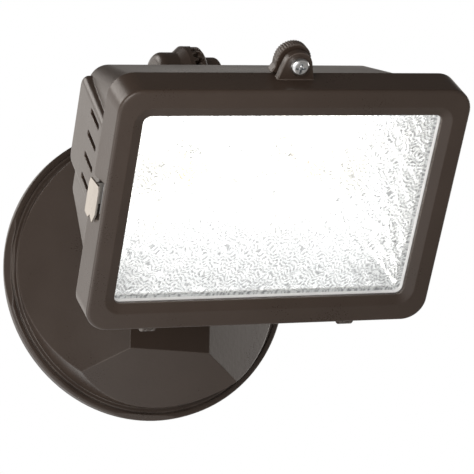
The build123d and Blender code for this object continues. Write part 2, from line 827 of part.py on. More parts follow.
# Notch in the side of the door's skirt under the clip: drafted all round and open at the back
notch_front = door_back - notch_width
with BuildPart() as skirt_notch:
    with BuildSketch(side.offset(door_width / 2 + 0.1)):
        with BuildLine():
            Polyline(
                (notch_front, notch_bottom + 1.5),
                (notch_front, notch_top),
                (notch_front + 1, notch_top + 0.3),
                (door_back + 3, notch_top - 2.8),
                (door_back + 3, notch_bottom),
                (notch_front + 4, notch_bottom),
                close=True,
            )
        make_face()
    extrude(amount=-door_wall - 0.3, taper=notch_draft)

# Door frame: skirt, bevelled front, screw ear, hinge cheeks and notches for the side clips
with BuildPart() as door_frame:
    with BuildSketch(face.offset(door_front)):
        RectangleRounded(door_width, door_height, door_corner)
    extrude(amount=-door_front - door_back)
    fillet(door_frame.faces().sort_by(facing_axis)[-1].edges(), radius=door_edge)
    with BuildSketch(face.offset(-door_back)):
        RectangleRounded(door_width - 2 * door_wall, door_height - 2 * door_wall, door_corner - door_wall)
    extrude(amount=door_back - lip_thickness, mode=Mode.SUBTRACT)
    with BuildSketch(face.offset(door_front)):
        RectangleRounded(
            opening_width + 2 * bevel_width, opening_height + 2 * bevel_width, opening_corner + bevel_width
        )
    with BuildSketch(face):
        RectangleRounded(opening_width, opening_height, opening_corner)
    loft(mode=Mode.SUBTRACT)
    with BuildSketch(face.offset(0.5)):
        RectangleRounded(opening_width, opening_height, opening_corner)
    extrude(amount=-lip_thickness - 1, mode=Mode.SUBTRACT)
    with BuildSketch(face.offset(-door_ear_front)):
        with BuildLine():
            CenterArc((0, ear_centre), door_ear_radius, 0, 360)
            Line((-door_ear_base, door_height / 2 - 1), (door_ear_base, door_height / 2 - 1))
        make_hull()
    extrude(amount=-door_ear_thickness)
    with BuildSketch(face.offset(-door_ear_front)):
        with Locations((0, screw_height)):
            Circle(screw_hole_radius)
    extrude(amount=-door_ear_thickness, mode=Mode.SUBTRACT)
    for middle in (-hinge_spread, hinge_spread):
        inner_side = middle - lug_width / 2 - hinge_gap
        outer_side = middle + lug_width / 2 + hinge_gap
        with BuildSketch(side.offset(inner_side)):
            with Locations((hinge_depth, -door_height / 2)):
                Rectangle(2 * (door_back - hinge_depth), 2 * door_wall + 2)
        extrude(amount=outer_side - inner_side, mode=Mode.SUBTRACT)
        for start in (inner_side - cheek_width, outer_side):
            with BuildSketch(side.offset(start)):
                with Locations((hinge_depth, hinge_height)):
                    Circle(lug_radius)
                with Locations((hinge_depth, (hinge_height - door_height / 2 + door_wall) / 2)):
                    Rectangle(2 * lug_radius, -door_height / 2 + door_wall - hinge_height)
                with Locations((hinge_depth, hinge_height)):
                    Circle(pin_radius, mode=Mode.SUBTRACT)
            extrude(amount=cheek_width)
    add([skirt_notch.part, mirror(skirt_notch.part, about=side, mode=Mode.PRIVATE)], mode=Mode.SUBTRACT)
export(door_frame, "door_frame")

# Silicone channel round the edge of the glass, and the glass
channel_width = door_width - 2 * door_wall - 2 * channel_clearance
channel_height = door_height - 2 * door_wall - 2 * channel_clearance
channel_corner = door_corner - door_wall - channel_clearance
glass_front = lip_thickness + channel_web
with BuildPart() as lens_gasket:
    with BuildSketch(face.offset(-lip_thickness)):
        RectangleRounded(channel_width, channel_height, channel_corner)
        RectangleRounded(
            opening_width - 2 * channel_show,
            opening_height - 2 * channel_show,
            opening_corner - channel_show,
            mode=Mode.SUBTRACT,
        )
    extrude(amount=lip_thickness - channel_back)
    with BuildSketch(face.offset(-glass_front)):
        RectangleRounded(glass_width, glass_height, glass_corner)
    extrude(amount=-glass_thickness, mode=Mode.SUBTRACT)
export(lens_gasket, "lens_gasket")

with BuildPart() as glass_lens:
    with BuildSketch(face.offset(-glass_front)):
        RectangleRounded(glass_width, glass_height, glass_corner)
    extrude(amount=-glass_thickness)
export(glass_lens, "glass_lens")

# Four spring clips wedge the channel against the door's lip
lens_clip_steel = 0.5
lens_clip_foot = 2.4
lens_clip_width = 9.0
lens_clip_leg = 4.0
clip_wall = door_height / 2 - door_wall
with BuildPart() as lens_clips:
    for u in (-25, 25):
        with BuildSketch(side.offset(u - lens_clip_width / 2)):
            with BuildLine():
                Polyline(
                    (channel_back, clip_wall),
                    (channel_back, clip_wall - lens_clip_foot),
                    (channel_back + lens_clip_steel, clip_wall - lens_clip_foot),
                    (channel_back + lens_clip_steel, clip_wall - lens_clip_steel),
                    (channel_back + lens_clip_leg, clip_wall - lens_clip_steel),
                    (channel_back + lens_clip_leg, clip_wall),
                    close=True,
                )
            make_face()
        extrude(amount=lens_clip_width)
    mirror(about=plan)
export(lens_clips, "lens_clips")

# Hinge pins, pressed into the door's cheeks
pin_half = lug_width / 2 + hinge_gap + cheek_width
with BuildPart() as hinge_pins:
    for middle in (-hinge_spread, hinge_spread):
        with BuildSketch(side.offset(middle - pin_half)):
            with Locations((hinge_depth, hinge_height)):
                Circle(pin_radius)
        extrude(amount=2 * pin_half)
        with BuildSketch(side.offset(middle - pin_half - 0.6)):
            with Locations((hinge_depth, hinge_height)):
                Circle(1.9)
        extrude(amount=0.6)
export(hinge_pins, "hinge_pins")

# Door screw with a crossed recess, and the washer that keeps it in the door
screw_tip = housing_ear_back + screw_end_reach
with BuildPart() as door_screw:
    with BuildSketch(face.offset(-screw_tip)):
        with Locations((0, screw_height)):
            Circle(screw_radius)
    extrude(amount=screw_tip - door_ear_front)
    chamfer(door_screw.edges().sort_by(facing_axis)[0], length=0.6)
    with BuildSketch(face.offset(-door_ear_front)):
        with Locations((0, screw_height)):
            Circle(screw_head_radius)
    extrude(amount=screw_head_height)
    fillet(door_screw.faces().sort_by(facing_axis)[-1].edges(), radius=1.5)
    with BuildSketch(face.offset(screw_head_height - door_ear_front)):
        with Locations((0, screw_height)):
            Rectangle(4.2, 1.0)
            Rectangle(1.0, 4.2)
    extrude(amount=-1.4, taper=12, mode=Mode.SUBTRACT)
export(door_screw, "door_screw")

with BuildPart() as screw_retainer:
    with BuildSketch(face.offset(-door_ear_back)):
        with Locations((0, screw_height)):
            Circle(screw_hole_radius + 0.8)
            Circle(screw_radius + 0.08, mode=Mode.SUBTRACT)
    extrude(amount=-retainer_thickness)
export(screw_retainer, "screw_retainer")

# Side clips: a shaped leaf with two tongues over the door's skirt, and a leg in the slot of the side box
leaf_inner = door_width / 2 + clip_stand
clip_leg_end = side_box_front - clip_leg_reach
with BuildPart() as side_clip_right:
    with BuildSketch(side.offset(leaf_inner)):
        with BuildLine():
            Polyline(
                (clip_back, clip_bottom + 0.6),
                (clip_back, clip_top - 4),
                (clip_back - 1.2, clip_top - 1),
                (clip_front + 1, clip_top),
                (clip_front, clip_top - 1.5),
                (clip_front, clip_bottom + 5),
                (clip_front + 2.4, clip_bottom + 0.4),
                (clip_front + 5.5, clip_bottom + 2.2),
                (clip_front + 7.6, clip_bottom),
                close=True,
            )
        make_face()
    extrude(amount=clip_thickness)
    with BuildSketch(side.offset(clip_leg_end)):
        with Locations((clip_back - clip_thickness / 2, clip_leg_middle)):
            Rectangle(clip_thickness, clip_leg_height)
    extrude(amount=leaf_inner + clip_thickness - clip_leg_end)
export(side_clip_right, "side_clip_right")

with BuildPart() as side_clip_left:
    mirror(side_clip_right.part, about=side)
export(side_clip_left, "side_clip_left")
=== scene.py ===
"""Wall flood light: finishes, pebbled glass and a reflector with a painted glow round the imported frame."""
import math
import random

import bmesh
import bpy
from mathutils import Matrix, Vector


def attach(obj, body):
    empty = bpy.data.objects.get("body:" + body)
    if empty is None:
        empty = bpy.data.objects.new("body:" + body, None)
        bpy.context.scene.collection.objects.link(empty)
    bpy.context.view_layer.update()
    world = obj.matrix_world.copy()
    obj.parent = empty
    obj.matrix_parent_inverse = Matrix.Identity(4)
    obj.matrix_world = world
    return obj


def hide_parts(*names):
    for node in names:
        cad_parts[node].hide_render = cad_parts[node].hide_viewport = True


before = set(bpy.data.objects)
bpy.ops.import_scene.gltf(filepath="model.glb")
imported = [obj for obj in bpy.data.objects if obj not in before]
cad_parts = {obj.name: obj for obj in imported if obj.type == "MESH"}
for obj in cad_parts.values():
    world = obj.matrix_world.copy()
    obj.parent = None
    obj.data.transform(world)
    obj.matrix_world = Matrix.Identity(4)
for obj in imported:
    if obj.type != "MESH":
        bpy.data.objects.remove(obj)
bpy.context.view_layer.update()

# Camera: it stands below and to the left of the light, about a metre away, and looks up at it.
# The lens is long, so the head's far edges stay nearly parallel.
camera_aim = Vector((0.0060, -0.0980, -0.0002))
camera_azimuth = math.radians(-20.72)
camera_elevation = math.radians(-11.17)
camera_roll = math.radians(0.79)
camera_distance = 1.001
camera_lens = 187.0
camera_sensor = 36.0

toward_camera = Vector(
    (
        math.sin(camera_azimuth) * math.cos(camera_elevation),
        -math.cos(camera_azimuth) * math.cos(camera_elevation),
        math.sin(camera_elevation),
    )
)
camera = bpy.data.objects.new("camera", bpy.data.cameras.new("camera"))
camera.data.lens = camera_lens
camera.data.sensor_width = camera_sensor
camera.location = camera_aim + toward_camera * camera_distance
camera_turn = (-toward_camera).to_track_quat("-Z", "Y")
camera.rotation_mode = "QUATERNION"
camera.rotation_quaternion = camera_turn @ Matrix.Rotation(camera_roll, 3, "Z").to_quaternion()
bpy.context.scene.collection.objects.link(camera)
bpy.context.scene.camera = camera

# Canopy, arm, housing and door frame: aluminium die castings under one satin bronze powder coat.
# The coat is a little cloudy, has a fine orange peel, and is paler and shinier along its edges, partly as
# rubbed wear and partly as a painted highlight.
coat_dark = (0.040, 0.0270, 0.0202, 1)
coat_brown = (0.052, 0.0360, 0.0275, 1)
coat_rubbed_highlight = (0.16, 0.130, 0.112, 1)
coat_roughness = 0.31
coat_gloss = 1.5
cloud_scale = 38.0
fleck_scale = 1700.0
peel_scale = 520.0
peel_depth = 0.00003
edge_rounding = 0.0008
edge_samples = 6


class Wire:
    """One output of a shader node. Arithmetic on wires adds the Math nodes that work it out."""

    def __init__(self, tree, socket=None):
        self.tree = tree
        self.socket = socket

    def node(self, kind, settings={}, inputs={}, output=0):
        """Adds a node: its settings first, then the value or the wire of each of its sockets."""
        node = self.tree.nodes.new("ShaderNode" + kind)
        for name, value in settings.items():
            setattr(node, name, value)
        for name, value in inputs.items():
            if isinstance(value, Wire):
                self.tree.links.new(value.socket, node.inputs[name])
            else:
                node.inputs[name].default_value = value
        return Wire(self.tree, node.outputs[output] if node.outputs else None)

    def math(self, operation, first, second):
        return self.node("Math", {"operation": operation}, {0: first, 1: second})

    def __add__(self, other):
        return self.math("ADD", self, other)

    def __radd__(self, other):
        return self.math("ADD", other, self)

    def __sub__(self, other):
        return self.math("SUBTRACT", self, other)

    def __rsub__(self, other):
        return self.math("SUBTRACT", other, self)

    def __mul__(self, other):
        return self.math("MULTIPLY", self, other)

    def __rmul__(self, other):
        return self.math("MULTIPLY", other, self)

    def __abs__(self):
        return self.math("ABSOLUTE", self, 0.0)

    def along(self, axis):
        """How far these coordinates go along X, Y or Z."""
        return self.node("SeparateXYZ", {}, {"Vector": self}, output=axis)

    def step(self, low, high):
        """Rises smoothly from 0 to 1 as this wire goes from low to high."""
        reach = {"Value": self, "From Min": low, "From Max": high}
        return self.node("MapRange", {"interpolation_type": "SMOOTHSTEP"}, reach)

    def blend(self, first, second):
        """Goes from the first colour to the second as this wire goes from 0 to 1."""
        return self.node("Mix", {"data_type": "RGBA"}, {"Factor": self, 6: first, 7: second}, output=2)

    def noise(self, scale, detail=2.0, roughness=0.5):
        """Noise on this wire's coordinates, from 0 to 1."""
        grain = {"Vector": self, "Scale": scale, "Detail": detail, "Roughness": roughness}
        return self.node("TexNoise", {}, grain)

    def stretched(self, scale, turn=(0, 0, 0)):
        """These coordinates turned and then stretched."""
        turned = self.node("Mapping", {"vector_type": "TEXTURE"}, {"Vector": self, "Rotation": turn})
        return turned.node("Mapping", {}, {"Vector": turned, "Scale": scale})

    def relief(self, height, depth, normal=None):
        """The normal of a surface whose relief is this deep, in metres."""
        sockets = {"Height": height, "Distance": depth, "Strength": 1.0}
        if normal:
            sockets["Normal"] = normal
        return self.node("Bump", {}, sockets)


def new_finish(name):
    """An empty material, and the object coordinates of what it covers."""
    material = bpy.data.materials.new(name)
    material.use_nodes = True
    material.node_tree.nodes.clear()
    return material, Wire(material.node_tree).node("TexCoord", output="Object")


def surface(material, **sockets):
    """Closes a material with one Principled shader. Underscores stand for the spaces of its sockets."""
    tree = Wire(material.node_tree)
    spaced = {name.replace("_", " "): value for name, value in sockets.items()}
    shader = tree.node("BsdfPrincipled", {}, spaced)
    tree.node("OutputMaterial", {}, {"Surface": shader})


def paint(material, *names):
    """Gives CAD nodes this finish and nothing else."""
    for name in names:
        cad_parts[name].data.materials.clear()
        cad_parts[name].data.materials.append(material)


bronze_coat, spot = new_finish("bronze_coat")
cloud = spot.noise(cloud_scale, 3.0)
fleck = spot.noise(fleck_scale, 1.0)
peel = spot.noise(peel_scale, 1.0)
rounded = spot.node("Bevel", {"samples": edge_samples}, {"Radius": edge_rounding})
true_normal = spot.node("NewGeometry", output="Normal")
away_from_edge = spot.node(
    "VectorMath", {"operation": "DOT_PRODUCT"}, {0: rounded, 1: true_normal}, output="Value"
)
# Edges: paler in cloudy patches along them, partly rubbed wear and partly a painted highlight of the edges'
# glint.
rubbed_and_highlit = (1 - away_from_edge).step(0.02, 0.16) * cloud.step(0.25, 0.55)
tone = (cloud - 0.5) * 1.5 + (fleck - 0.5) * 0.4 + 0.5
surface(
    bronze_coat,
    Base_Color=(rubbed_and_highlit * 0.8).blend(tone.blend(coat_dark, coat_brown), coat_rubbed_highlight),
    Roughness=coat_roughness + (cloud - 0.5) * 0.14 + (fleck - 0.5) * 0.10 - rubbed_and_highlit * 0.08,
    Normal=spot.relief(peel + fleck * 0.1, peel_depth, rounded),
    IOR=coat_gloss,
)
paint(bronze_coat, "canopy", "arm", "housing", "door_frame")

# Canopy gasket: a ring of black closed-cell foam between the flange and the wall.
# Its cut faces show the cells, and it is slightly greyer where it has been pressed.
foam_black = (0.016, 0.016, 0.017, 1)
foam_pressed = (0.055, 0.054, 0.053, 1)
cell_scale = 1500.0
cell_depth = 0.00012
press_scale = 60.0
foam, spot = new_finish("closed_cell_foam")
cell = spot.node("TexVoronoi", {"feature": "F1"}, {"Vector": spot, "Scale": cell_scale})
press = spot.noise(press_scale)
surface(
    foam,
    Base_Color=(cell * 1.2 * press).blend(foam_black, foam_pressed),
    Roughness=0.85 + press * 0.1,
    Normal=spot.relief(cell, cell_depth),
)
paint(foam, "canopy_gasket")

# Strap, screws, nuts and washer: steel under bright zinc with a thin clear passivation.
# The zinc is faintly cloudy with blue and straw tints, and carries the press's fine draw lines.
zinc_blue = (0.50, 0.53, 0.58, 1)
zinc_straw = (0.62, 0.60, 0.53, 1)
zinc_bright = (0.74, 0.75, 0.75, 1)
bloom_scale = 110.0
tint_scale = 45.0
draw_line_scale = (300.0, 300.0, 4200.0)
draw_line_depth = 0.000012
zinc_steel, spot = new_finish("zinc_steel")
bloom = spot.noise(bloom_scale, 3.0)
tint = spot.noise(tint_scale, 2.0)
drawn = spot.stretched(draw_line_scale).noise(1.0, 3.0)
surface(
    zinc_steel,
    Metallic=1.0,
    Base_Color=bloom.blend(tint.step(0.35, 0.65).blend(zinc_blue, zinc_straw), zinc_bright),
    Roughness=0.24 + bloom * 0.16 + drawn * 0.10,
    Normal=spot.relief(drawn + bloom * 0.4, draw_line_depth),
)
paint(
    zinc_steel,
    "mounting_strap",
    "canopy_screws",
    "arm_locknut",
    "knuckle_bolt",
    "knuckle_nut",
    "knuckle_washer",
    "reflector_screws",
    "bracket_screws",
)

# Ground screw: steel with a green finish, so that the earth wire's place is plain.
# The green is thin and shows bright metal where the driver and the thread have rubbed it.
ground_green = (0.045, 0.27, 0.085, 1)
ground_worn = (0.45, 0.55, 0.45, 1)
wear_scale = 900.0
green_satin_scale = 500.0
green_grain_scale = 1500.0
green_grain_depth = 0.000015
green_steel, spot = new_finish("green_steel")
worn = spot.noise(wear_scale, 3.0).step(0.56, 0.72)
surface(
    green_steel,
    Metallic=0.85 + worn * 0.15,
    Base_Color=worn.blend(ground_green, ground_worn),
    Roughness=0.34 + spot.noise(green_satin_scale) * 0.14,
    Normal=spot.relief(spot.noise(green_grain_scale), green_grain_depth),
)
paint(green_steel, "ground_screw")

# Arm seal: a flat washer of moulded rubber, squeezed between the arm's shoulder and the canopy.
# It is matt, slightly grey with talc, and finely grained.
rubber_black = (0.013, 0.013, 0.013, 1)
rubber_talc = (0.040, 0.039, 0.037, 1)
talc_scale = 240.0
rubber_grain_scale = 2600.0
rubber_grain_depth = 0.00002
black_rubber, spot = new_finish("black_rubber")
talc = spot.noise(talc_scale, 4.0)
surface(
    black_rubber,
    Base_Color=talc.step(0.45, 0.75).blend(rubber_black, rubber_talc),
    Roughness=0.62 + talc * 0.2,
    Normal=spot.relief(spot.noise(rubber_grain_scale, 1.0), rubber_grain_depth),
)
paint(black_rubber, "arm_seal")

# Head: the planes of the lamp head, which the lens, the reflector and the lamp are placed by.
# Across is to the right, up is along the door, and facing is out of the glass.
arm_swivel = math.radians(6.0)
head_tilt = math.radians(40.0)
opening_outward = 0.0762
opening_upright = 0.0684
opening_facing = 0.1075
outward = Vector((0, -1, 0))
across = Vector((math.cos(arm_swivel), 0, math.sin(arm_swivel)))
upright = Vector((-math.sin(arm_swivel), 0, math.cos(arm_swivel)))
facing = outward * math.cos(head_tilt) - upright * math.sin(head_tilt)
head_up = outward * math.sin(head_tilt) + upright * math.cos(head_tilt)
opening_centre = outward * opening_outward + upright * opening_upright + facing * opening_facing
head_turn = Matrix((across, head_up, facing)).transposed()
head_space = Matrix.Translation(opening_centre) @ head_turn.to_4x4()


def head_coordinates(spot):
    """Object coordinates seen from the head: x across, y up the door, and z out of the glass."""
    return spot.node(
        "Mapping",
        {"vector_type": "TEXTURE"},
        {"Vector": spot, "Location": opening_centre, "Rotation": head_turn.to_euler()},
    )


# Reflector: a dished sheet of bright anodised aluminium, hammered all over, whose mouth flares to the glass.
# The lamp's light on it is painted as a glow: brightest on its floor, falling off towards the mouth and the
# sides, with painted glints.
# The lampholder brackets share the finish, and with it the painted glow.
reflector_mouth = 0.0096
mouth_flare = (1.0148, 1.0175, 1.0)
mouth_reach = 0.0012
weld_distance = 1e-6
mouth_tolerance = 1e-5


def new_piece(name, mesh):
    """Turns a finished bmesh into an object of the scene."""
    piece = bpy.data.objects.new(name, bpy.data.meshes.new(name))
    mesh.to_mesh(piece.data)
    mesh.free()
    bpy.context.scene.collection.objects.link(piece)
    return piece


pan_mesh = bmesh.new()
pan_mesh.from_mesh(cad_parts["reflector"].data)
bmesh.ops.remove_doubles(pan_mesh, verts=pan_mesh.verts, dist=weld_distance)
bmesh.ops.transform(pan_mesh, matrix=head_space.inverted(), verts=pan_mesh.verts)
mouth_level = -reflector_mouth - mouth_tolerance
mouth = [face for face in pan_mesh.faces if all(vertex.co.z > mouth_level for vertex in face.verts)]
# The mouth's old face stays inside the metal when it is drawn out, where it doesn't show.
lip = bmesh.ops.extrude_face_region(pan_mesh, geom=mouth)["geom"]
lip = [item for item in lip if isinstance(item, bmesh.types.BMVert)]
bmesh.ops.scale(pan_mesh, vec=mouth_flare, verts=lip)
bmesh.ops.translate(pan_mesh, vec=(0, 0, mouth_reach), verts=lip)
bmesh.ops.recalc_face_normals(pan_mesh, faces=pan_mesh.faces)
for face in pan_mesh.faces:
    face.smooth = False
bmesh.ops.transform(pan_mesh, matrix=head_space, verts=pan_mesh.verts)
pan = new_piece("reflector_painted_glow", pan_mesh)

anodised_grey = (0.80, 0.80, 0.81, 1)
anodised_white = (0.90, 0.90, 0.89, 1)
no_glow = (0.0, 0.0, 0.0, 1)
painted_glow_white = (1.0, 1.0, 1.0, 1)
dimple_scale = 230.0
dimple_softness = 0.6
dimple_depth = 0.0006
haze_scale = 26.0
painted_glint_scale = 300.0
painted_glow = 0.55
painted_glow_peak = 1.9
painted_floor_glow = 1.36
painted_glow_mouth_fall = 0.36
painted_glow_side_fall = 0.62
mouth_band = (0.008, 0.026)
side_band = (0.036, 0.062)
painted_glint_floor_swing = 0.1
painted_glint_mouth_swing = 0.3
bright_aluminium, spot = new_finish("bright_aluminium")
place = head_coordinates(spot)
dimple = place.node(
    "TexVoronoi",
    {"feature": "SMOOTH_F1"},
    {"Vector": place, "Scale": dimple_scale, "Smoothness": dimple_softness},
)
haze = place.noise(haze_scale, 3.0)
aside = place.along("X")
behind = place.along("Z") * -1
# Painted light: the glow falls off near the mouth and the sides, and painted glints swing it most near the
# mouth.
near_mouth = 1 - behind.step(*mouth_band)
near_side = abs(aside).step(*side_band)
painted_glint = place.noise(painted_glint_scale, 2.0) - 0.5
painted_glint_swing = painted_glint_floor_swing + near_mouth * painted_glint_mouth_swing
painted_glow_level = painted_floor_glow - near_mouth * painted_glow_mouth_fall - near_side * painted_glow_side_fall + painted_glint * painted_glint_swing
surface(
    bright_aluminium,
    Metallic=1.0,
    Base_Color=haze.blend(anodised_grey, anodised_white),
    Roughness=0.20 + haze * 0.14,
    Normal=spot.relief(dimple, dimple_depth),
    Emission_Color=(painted_glow_level * (1 / painted_glow_peak)).blend(no_glow, painted_glow_white),
    Emission_Strength=painted_glow_peak * painted_glow,
)
pan.data.materials.append(bright_aluminium)
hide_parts("reflector")
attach(pan, "head")
# The brackets take the reflector's finish, so they glow with its painted light too.
paint(bright_aluminium, "lampholder_brackets")

# Lamp: a clear quartz tube with its filament lit from end to end.
# The glow is white in the middle of the tube and warmer towards the caps.
quartz = (0.95, 0.95, 0.93, 1)
filament_white = (1.0, 0.97, 0.90, 1)
filament_warm = (0.95, 0.70, 0.42, 1)
filament_glow = 1.6
cap_band = (0.018, 0.030)
quartz_haze_scale = 120.0
lamp_quartz, spot = new_finish("lamp_quartz")
place = head_coordinates(spot)
near_cap = abs(place.along("X")).step(*cap_band)
surface(
    lamp_quartz,
    Base_Color=quartz,
    Roughness=0.06 + spot.noise(quartz_haze_scale) * 0.06,
    Emission_Color=near_cap.blend(filament_white, filament_warm),
    Emission_Strength=filament_glow,
)
paint(lamp_quartz, "lamp_tube")

# Lamp caps and lampholders: unglazed steatite, pressed and fired, with the lamp's light on them painted as a
# glow.
# It is a warm matt white with fine grit and a little soot in patches.
steatite = (0.82, 0.80, 0.75, 1)
steatite_sooty = (0.62, 0.57, 0.50, 1)
steatite_painted_glow = (1.0, 0.98, 0.94, 1)
steatite_painted_glow_strength = 1.1
grit_scale = 1300.0
grit_depth = 0.00004
soot_scale = 85.0
white_ceramic, spot = new_finish("white_ceramic")
grit = spot.noise(grit_scale, 2.0)
soot = spot.noise(soot_scale, 3.0)
surface(
    white_ceramic,
    Base_Color=soot.step(0.50, 0.80).blend(steatite, steatite_sooty),
    Roughness=0.66 + grit * 0.2,
    Normal=spot.relief(grit, grit_depth),
    # Painted light: the caps and lampholders glow as if lit by the lamp.
    Emission_Color=steatite_painted_glow,
    Emission_Strength=steatite_painted_glow_strength,
)
paint(white_ceramic, "lamp_caps", "lampholders")

# Lampholder contacts: turned brass buttons that carry the current.
# Their faces are bright with a fine grain, and the brass has browned with heat.
brass_bright = (0.78, 0.60, 0.27, 1)
brass_browned = (0.48, 0.31, 0.14, 1)
heat_scale = 190.0
brass_grain_scale = 2200.0
brass_grain_depth = 0.00001
brass_contact, spot = new_finish("brass_contact")
heat = spot.noise(heat_scale, 3.0)
surface(
    brass_contact,
    Metallic=1.0,
    Base_Color=heat.step(0.35, 0.7).blend(brass_bright, brass_browned),
    Roughness=0.22 + heat * 0.2,
    Normal=spot.relief(spot.noise(brass_grain_scale), brass_grain_depth),
)
paint(brass_contact, "lampholder_contacts")

# Side clips, lens clips and hinge pins: hard-rolled stainless spring strip and wire.
# The strip keeps its rolling grain, with a few handling scuffs and slightly dull patches.
spring_bright = (0.68, 0.64, 0.59, 1)
spring_dull = (0.50, 0.465, 0.42, 1)
rolling_scale = (500.0, 6500.0, 500.0)
rolling_depth = 0.00002
dull_scale = 210.0
scuff_scale = (1500.0, 260.0, 900.0)
scuff_turn = (0, 0, 0.5)
stainless_spring, spot = new_finish("stainless_spring")
place = head_coordinates(spot)
grain = place.stretched(rolling_scale).noise(1.0, 3.0)
dull = place.noise(dull_scale, 3.0)
scuff = place.stretched(scuff_scale, scuff_turn).noise(1.0, 2.0).step(0.62, 0.74)
surface(
    stainless_spring,
    Metallic=1.0,
    Base_Color=(dull * 0.7 + scuff * 0.3).blend(spring_bright, spring_dull),
    Roughness=0.28 + grain * 0.10 + dull * 0.12 + scuff * 0.08,
    Normal=spot.relief(grain + dull * 1.5, rolling_depth),
)
paint(stainless_spring, "side_clip_left", "side_clip_right", "lens_clips", "hinge_pins")

# Lens gasket: a channel of milky silicone moulded round the edge of the glass.
# It is smooth, and the lamp's light on it is painted as a faint glow, strongest at the right, where it is a
# thin pale line.
silicone_milky = (0.34, 0.34, 0.33, 1)
silicone_dusty = (0.26, 0.25, 0.24, 1)
silicone_painted_glow = (0.75, 0.75, 0.75, 1)
silicone_painted_glow_strength = 0.45
painted_glow_band = (0.050, 0.061)
dust_scale = 300.0
dust_depth = 0.00002
silicone, spot = new_finish("silicone")
dust = spot.noise(dust_scale, 4.0)
place = head_coordinates(spot)
# Painted light: the glow is whitest towards the right side.
painted_glow_side = place.along("X").step(*painted_glow_band)
surface(
    silicone,
    Base_Color=dust.step(0.45, 0.8).blend(silicone_milky, silicone_dusty),
    Roughness=0.42 + dust * 0.2,
    Normal=spot.relief(dust, dust_depth),
    Emission_Color=painted_glow_side.blend(silicone_painted_glow, painted_glow_white),
    Emission_Strength=silicone_painted_glow_strength,
)
paint(silicone, "lens_gasket")

# Glass lens: 4 mm tempered glass, flat in front and rolled with a fine worm-like pebble behind.
# Its flat margin is held in the silicone channel. The pebble is random waves at many angles, swayed a little.
# Each furrow's slope is kept as a value on the vertices, which darkens one side of each furrow as painted
# shade.
glass_half = (0.06605, 0.0454)
glass_front = 0.0030
glass_back = 0.0070
glass_margin = 0.0050
corner_cuts = 4
pebble_cell = 0.00042
pebble_length = 0.0015
pebble_spread = (0.78, 1.35)
pebble_depth = 0.00022
pebble_steepness = 1.1
pebble_waves = 22
pebble_seed = 7
pebble_scatter = 0.7
sway_reach = 0.0007
sway_waves = (900, 1050)
drift_reach = 3
drift_waves = (260, 310)
furrow_shade_level = 0.34
furrow_shade_slant = 0.45
rim_tolerance = 1e-6
inner = (glass_half[0] - glass_margin, glass_half[1] - glass_margin)

lens_mesh = bmesh.new()
columns, rows = (round(2 * half / pebble_cell) for half in inner)
pane = bmesh.ops.create_grid(lens_mesh, x_segments=columns, y_segments=rows, size=1.0)
bmesh.ops.scale(lens_mesh, vec=(*inner, 1), verts=pane["verts"])
dice = random.Random(pebble_seed)
waves = []
for index in range(pebble_waves):
    turn = math.pi * (index + dice.random() * pebble_scatter) / pebble_waves
    size = 2 * math.pi / (pebble_length * dice.uniform(*pebble_spread))
    waves.append((size * math.cos(turn), size * math.sin(turn), dice.uniform(0, 2 * math.pi)))
spread = 1.0 / math.sqrt(pebble_waves / 2)
painted_furrow_shade = lens_mesh.verts.layers.float.new("painted_furrow_shade")
for vertex in lens_mesh.verts:
    x, y = vertex.co.x, vertex.co.y
    drift_x = drift_reach * math.sin(x * drift_waves[0])
    drift_y = drift_reach * math.sin(y * drift_waves[1])
    sway_x = x + sway_reach * math.sin(y * sway_waves[0] + drift_x)
    sway_y = y + sway_reach * math.sin(x * sway_waves[1] + drift_y)
    swell = spread * sum(math.cos(p * sway_x + q * sway_y + phase) for p, q, phase in waves)
    slope = spread * sum(
        (furrow_shade_slant * p + q) * math.sin(p * sway_x + q * sway_y + phase) for p, q, phase in waves
    )
    rise = 0.5 + 0.5 * math.tanh(pebble_steepness * swell)
    vertex.co.z = -glass_back + pebble_depth * rise
    # Painted shade: the slope, tilted one way, sets how dark each point of the furrow is painted.
    vertex[painted_furrow_shade] = min(1.0, max(0.0, furrow_shade_level + slope * pebble_length / (2 * math.pi)))
rim = [edge for edge in lens_mesh.edges if edge.is_boundary]

# The pebble stops at a flat margin with rounded corners, which the channel grips.
grown = bmesh.ops.extrude_edge_only(lens_mesh, edges=rim)["geom"]
outline = [item for item in grown if isinstance(item, bmesh.types.BMEdge) and item.is_boundary]
for vertex in {vertex for edge in outline for vertex in edge.verts}:
    on_rim = [abs(vertex.co[i]) > inner[i] - rim_tolerance for i in (0, 1)]
    way = Vector([math.copysign(1, vertex.co[i]) if on_rim[i] else 0 for i in (0, 1)])
    vertex.co.xy += way.normalized() * glass_margin
    vertex.co.z = -glass_back
    vertex[painted_furrow_shade] = 0.0
turns = [edge for edge in outline if edge.calc_length() > glass_margin / 3]
cut = bmesh.ops.subdivide_edges(lens_mesh, edges=turns, cuts=corner_cuts)["geom_inner"]
for vertex in (item for item in cut if isinstance(item, bmesh.types.BMVert)):
    corner = Vector([math.copysign(inner[i], vertex.co[i]) for i in (0, 1)])
    vertex.co.xy = corner + (vertex.co.xy - corner).normalized() * glass_margin
for face in lens_mesh.faces:
    face.smooth = True
outline = [edge for edge in lens_mesh.edges if edge.is_boundary]
walls = bmesh.ops.extrude_edge_only(lens_mesh, edges=outline)["geom"]
for vertex in (item for item in walls if isinstance(item, bmesh.types.BMVert)):
    vertex.co.z = -glass_front
front_edges = [edge for edge in lens_mesh.edges if edge.is_boundary]
front = bmesh.ops.edgeloop_fill(lens_mesh, edges=front_edges)["faces"]
for face in front + [item for item in walls if isinstance(item, bmesh.types.BMFace)]:
    face.smooth = False
bmesh.ops.recalc_face_normals(lens_mesh, faces=lens_mesh.faces)
bmesh.ops.transform(lens_mesh, matrix=head_space, verts=lens_mesh.verts)
lens = new_piece("pebbled_lens", lens_mesh)

